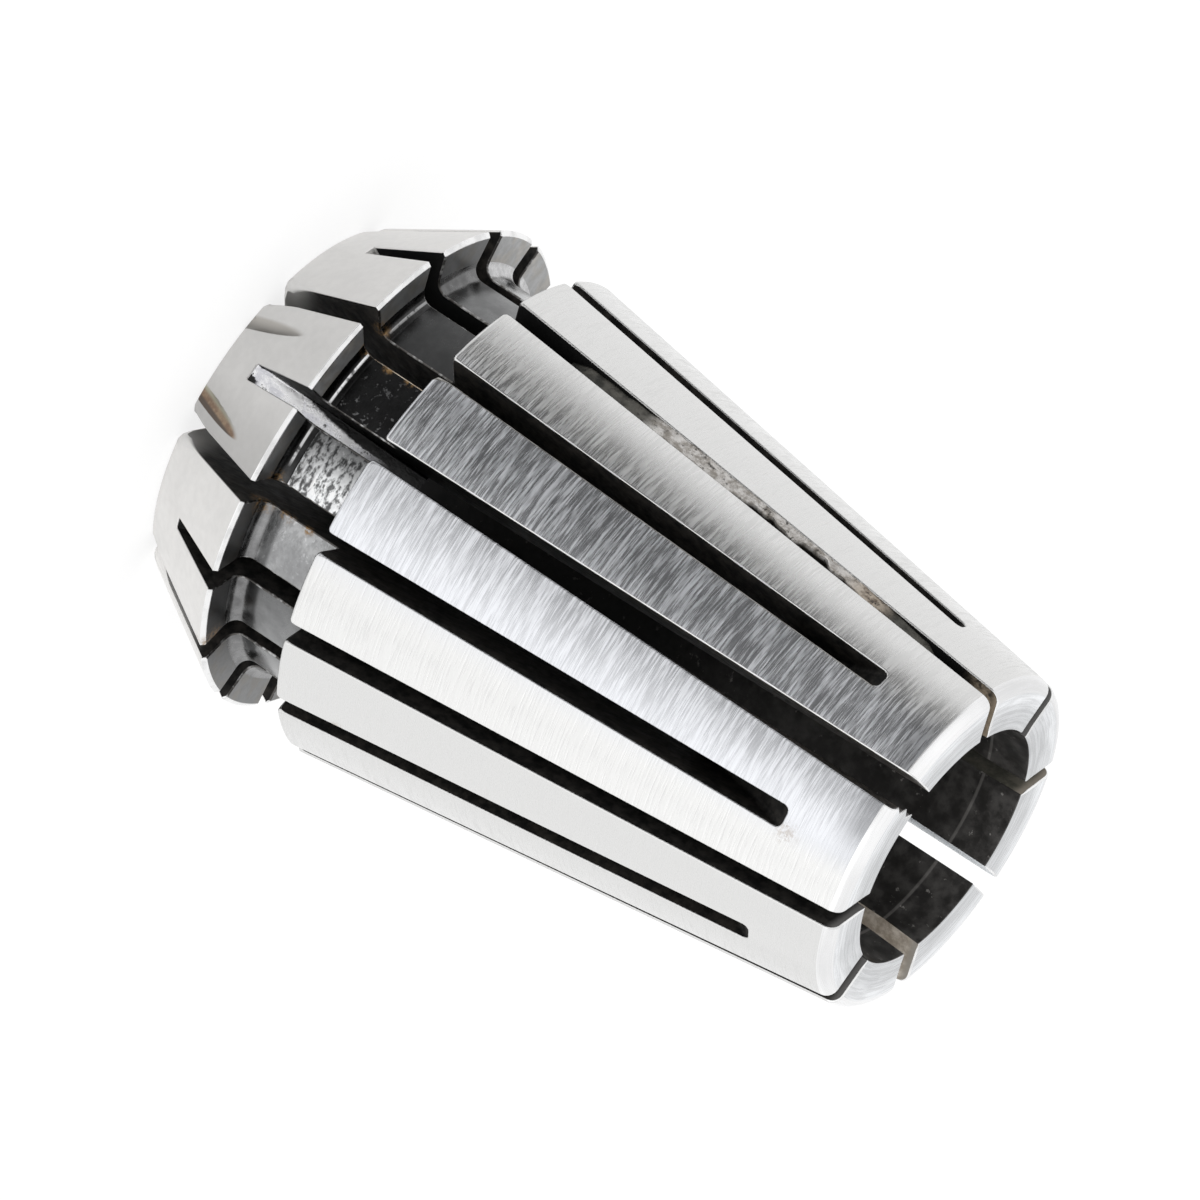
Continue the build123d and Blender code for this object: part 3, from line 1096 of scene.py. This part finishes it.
MATERIALS = {
    "body": ground_steel(),
    "cone": head_satin(),
    "edge": bright_edge("bright_edge", (0.74, 0.74, 0.74), (0.92, 0.92, 0.92)),
    "edge_brown": bright_edge("brown_edge", (0.3, 0.22, 0.15), (0.66, 0.58, 0.48)),
    "edge_grey": bright_edge("grey_edge", (0.22, 0.215, 0.2), (0.42, 0.41, 0.39)),
    "dull": dull_edge(),
    "shoulder": groove_shoulder(),
    "fillet": groove_fillet(),
    "groove": groove_floor(),
    "round": turned_round(),
    "end": turned_face(),
    "bore": bore_dark(),
    "residue": dried_residue(),
    "wall": sawn("sawn_dark", BLACK, (0.05, 0.047, 0.043)),
    "wall_head": sawn("sawn_head", BLACK, (0.05, 0.045, 0.04), mouth=True),
    "wall_pale": sawn("sawn_pale", BLACK, (0.05, 0.045, 0.04), mouth=True, beside_cone=True),
    "wall_brown": sawn("sawn_brown", (0.42, 0.37, 0.31), (0.8, 0.75, 0.68), 23.0, 26.0,
                       (0.36, 0.34, 0.31)),
    # Slot 8's walls are painted white: painted light from the white background seen past them.
    "wall_white": sawn("sawn_white", (0.86, 0.89, 0.92), (0.95, 0.96, 0.96), 8.0, 16.0,
                       (0.92, 0.94, 0.96)),
    "wall_olive": sawn("sawn_olive", (0.075, 0.075, 0.06), (0.16, 0.15, 0.125), 18.0, 24.0,
                       (0.36, 0.32, 0.27)),
    "wall_stained": sawn("sawn_stained", (0.02, 0.02, 0.02), (0.6, 0.5, 0.38), 30.2, 31.2,
                         (0.34, 0.28, 0.21)),
    "wall_specks": sawn("sawn_specks", BLACK, (0.13, 0.115, 0.1), 16.0, 26.0),
    "runout": sawn_floor("sawn_floor", (0.6, 0.59, 0.57), (0.72, 0.71, 0.69)),
    "runout_front": sawn_floor("sawn_front_floor", (0.66, 0.66, 0.7), (0.99, 0.99, 1.0),
                               front=True),
}
# Surfaces that look like another one, and the walls of some slots
LOOK = {
    "front": "cone", "rim": "edge", "face": "shoulder", "mouth": "bore", "entry": "cone",
    "body_rim": "body",
}
WALLS = {
    14: "wall_stained", 0: "wall_specks", 6: "wall_brown", 8: "wall_white", 10: "wall_olive",
    3: "wall_pale",
}
DARK_RUNOUT = 2
# Slot edges that have worn bright on the body, and one that is brown in the groove, by
# (slot, side)
BODY_EDGES = {(15, -1): "edge", (15, 1): "edge_grey", (0, -1): "edge"}
BROWN_EDGE = (15, 1)


def look_of(kind, slot, edge):
    """The material of a face, from its surface, its slot, and its side of the slot if an edge."""
    if kind == "wall":
        return WALLS.get(slot, "wall_head" if slot % 2 else "wall")
    if kind == "runout" and (slot % 2 or slot == DARK_RUNOUT):
        return "wall"
    if kind == "runout" and slot == RIDGED_SLOT:
        return "runout_front"
    if edge and kind in ("body", "body_rim"):
        return BODY_EDGES.get((slot, edge), "body")
    if kind == "groove" and (slot, edge) == BROWN_EDGE:
        return "edge_brown"
    if edge and kind in ("rim", "round", "end"):
        return "edge"
    if edge and kind in ("fillet", "groove", "shoulder", "face"):
        return "dull"
    return LOOK.get(kind, kind)


looks = list(MATERIALS)
for material in MATERIALS.values():
    mesh.materials.append(material)
for polygon, kind in zip(mesh.polygons, face_kind):
    polygon.material_index = looks.index(look_of(*kind))

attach(piece, "root")
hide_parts("collet")

# ---- camera

LENS = 494.96
SENSOR = 36
AIM = Vector((-0.5435, -0.0349, 15.101)) * MM
VIEW_AZIMUTH = radians(-86.331)
VIEW_ELEVATION = radians(20.586)
VIEW_ROLL = radians(-123.615)
VIEW_DISTANCE = 620.84 * MM

camera_data = bpy.data.cameras.new("camera")
camera_data.lens = LENS
camera_data.sensor_width = SENSOR
camera_data.clip_start = 0.01
camera = add_object("camera", camera_data)
back = Vector(axes(VIEW_AZIMUTH)[0] * cos(VIEW_ELEVATION) + UP * sin(VIEW_ELEVATION))
level = Vector(UP).cross(back).normalized()
top = back.cross(level) * cos(VIEW_ROLL) + level * sin(VIEW_ROLL)
turned = Matrix((top.cross(back), top, back)).transposed().to_4x4()
camera.matrix_world = Matrix.Translation(AIM + back * VIEW_DISTANCE) @ turned
bpy.context.scene.camera = camera

# ---- stage and light

# The floor looks brighter than it lights the part, so that the picture's ground stays white.
FLOOR_SIZE = 2.0
FLOOR_GLOW = 0.8
corners = [(FLOOR_SIZE * x, FLOOR_SIZE * y, 0) for x, y in ((-1, -1), (1, -1), (1, 1), (-1, 1))]
floor = add_mesh("floor", corners, [(0, 1, 2, 3)])
m = Surface("floor", metallic=0.0)
m.finish(m.mix(m.noise(0.2), (0.23, 0.23, 0.23), (0.25, 0.25, 0.25)), 1.0)
rays = m.node("ShaderNodeLightPath").outputs
seen = m.math("MAXIMUM", rays["Is Camera Ray"], rays["Is Glossy Ray"])
seen = seen.or_more(rays["Is Transmission Ray"])
glow = m.node("ShaderNodeEmission")
m.put(seen * FLOOR_GLOW, glow.inputs["Strength"])
both = m.node("ShaderNodeAddShader", m.shader.outputs[0], glow.outputs[0])
m.put(both.outputs[0], m.tree.nodes["Material Output"].inputs["Surface"])
floor.data.materials.append(m.material)

world = bpy.data.worlds.new("world")
bpy.context.scene.world = world
world.use_nodes = True
sky = world.node_tree.nodes["Background"].inputs
sky["Color"].default_value = (1, 1, 1, 1)
sky["Strength"].default_value = 1.0

# A dark flag beside the camera, which only the gloss of the metal sees: its edges as
# (radius, height), and where it starts and ends beside the view
FLAG_EDGES = ((38.0, 0.2), (55.0, 37.0))
FLAG_FROM = radians(-98)
FLAG_TO = radians(26)
FLAG_STEPS = 48
flag_vertices = []
for step in range(FLAG_STEPS + 1):
    a = VIEW_AZIMUTH + FLAG_FROM + (FLAG_TO - FLAG_FROM) * step / FLAG_STEPS
    flag_vertices += [(r * MM * cos(a), r * MM * sin(a), z * MM) for r, z in FLAG_EDGES]
flag_faces = [(2 * n, 2 * n + 2, 2 * n + 3, 2 * n + 1) for n in range(FLAG_STEPS)]
flag = add_mesh("flag", flag_vertices, flag_faces)
for ray in ("camera", "diffuse", "transmission", "volume_scatter", "shadow"):
    setattr(flag, "visible_" + ray, False)
m = Surface("flag", metallic=0.0)
tone = m.mix(m.z.span(0.0, FLAG_EDGES[1][1]), (0.2, 0.2, 0.2), (0.34, 0.34, 0.34))
m.finish(tone, 1.0)
beside = m.turn(VIEW_AZIMUTH)
fade = beside.span(radians(-82), radians(-56)) * beside.span(radians(20), radians(-26))
m.put(fade, m.shader.inputs["Alpha"])
flag.data.materials.append(m.material)

# A softbox, in metres: its size, its distance and height, and the height that it aims at
LAMP_SIZE = (0.32, 0.2)
LAMP_DISTANCE = 0.3
LAMP_HEIGHT = 0.1
LAMP_AIM = 0.015
LAMP_AZIMUTH = VIEW_AZIMUTH + radians(47)
LAMP_STRENGTH = 0.4
lamp_data = bpy.data.lights.new("softbox", "AREA")
lamp_data.shape = "RECTANGLE"
lamp_data.size, lamp_data.size_y = LAMP_SIZE
lamp_data.energy = LAMP_STRENGTH * pi * LAMP_SIZE[0] * LAMP_SIZE[1]
lamp = add_object("softbox", lamp_data)
lamp.location = (LAMP_DISTANCE * cos(LAMP_AZIMUTH), LAMP_DISTANCE * sin(LAMP_AZIMUTH), LAMP_HEIGHT)
lamp.rotation_mode = "QUATERNION"
lamp.rotation_quaternion = (Vector((0, 0, LAMP_AIM)) - lamp.location).to_track_quat("-Z", "Y")

bpy.context.scene.view_settings.view_transform = "Standard"
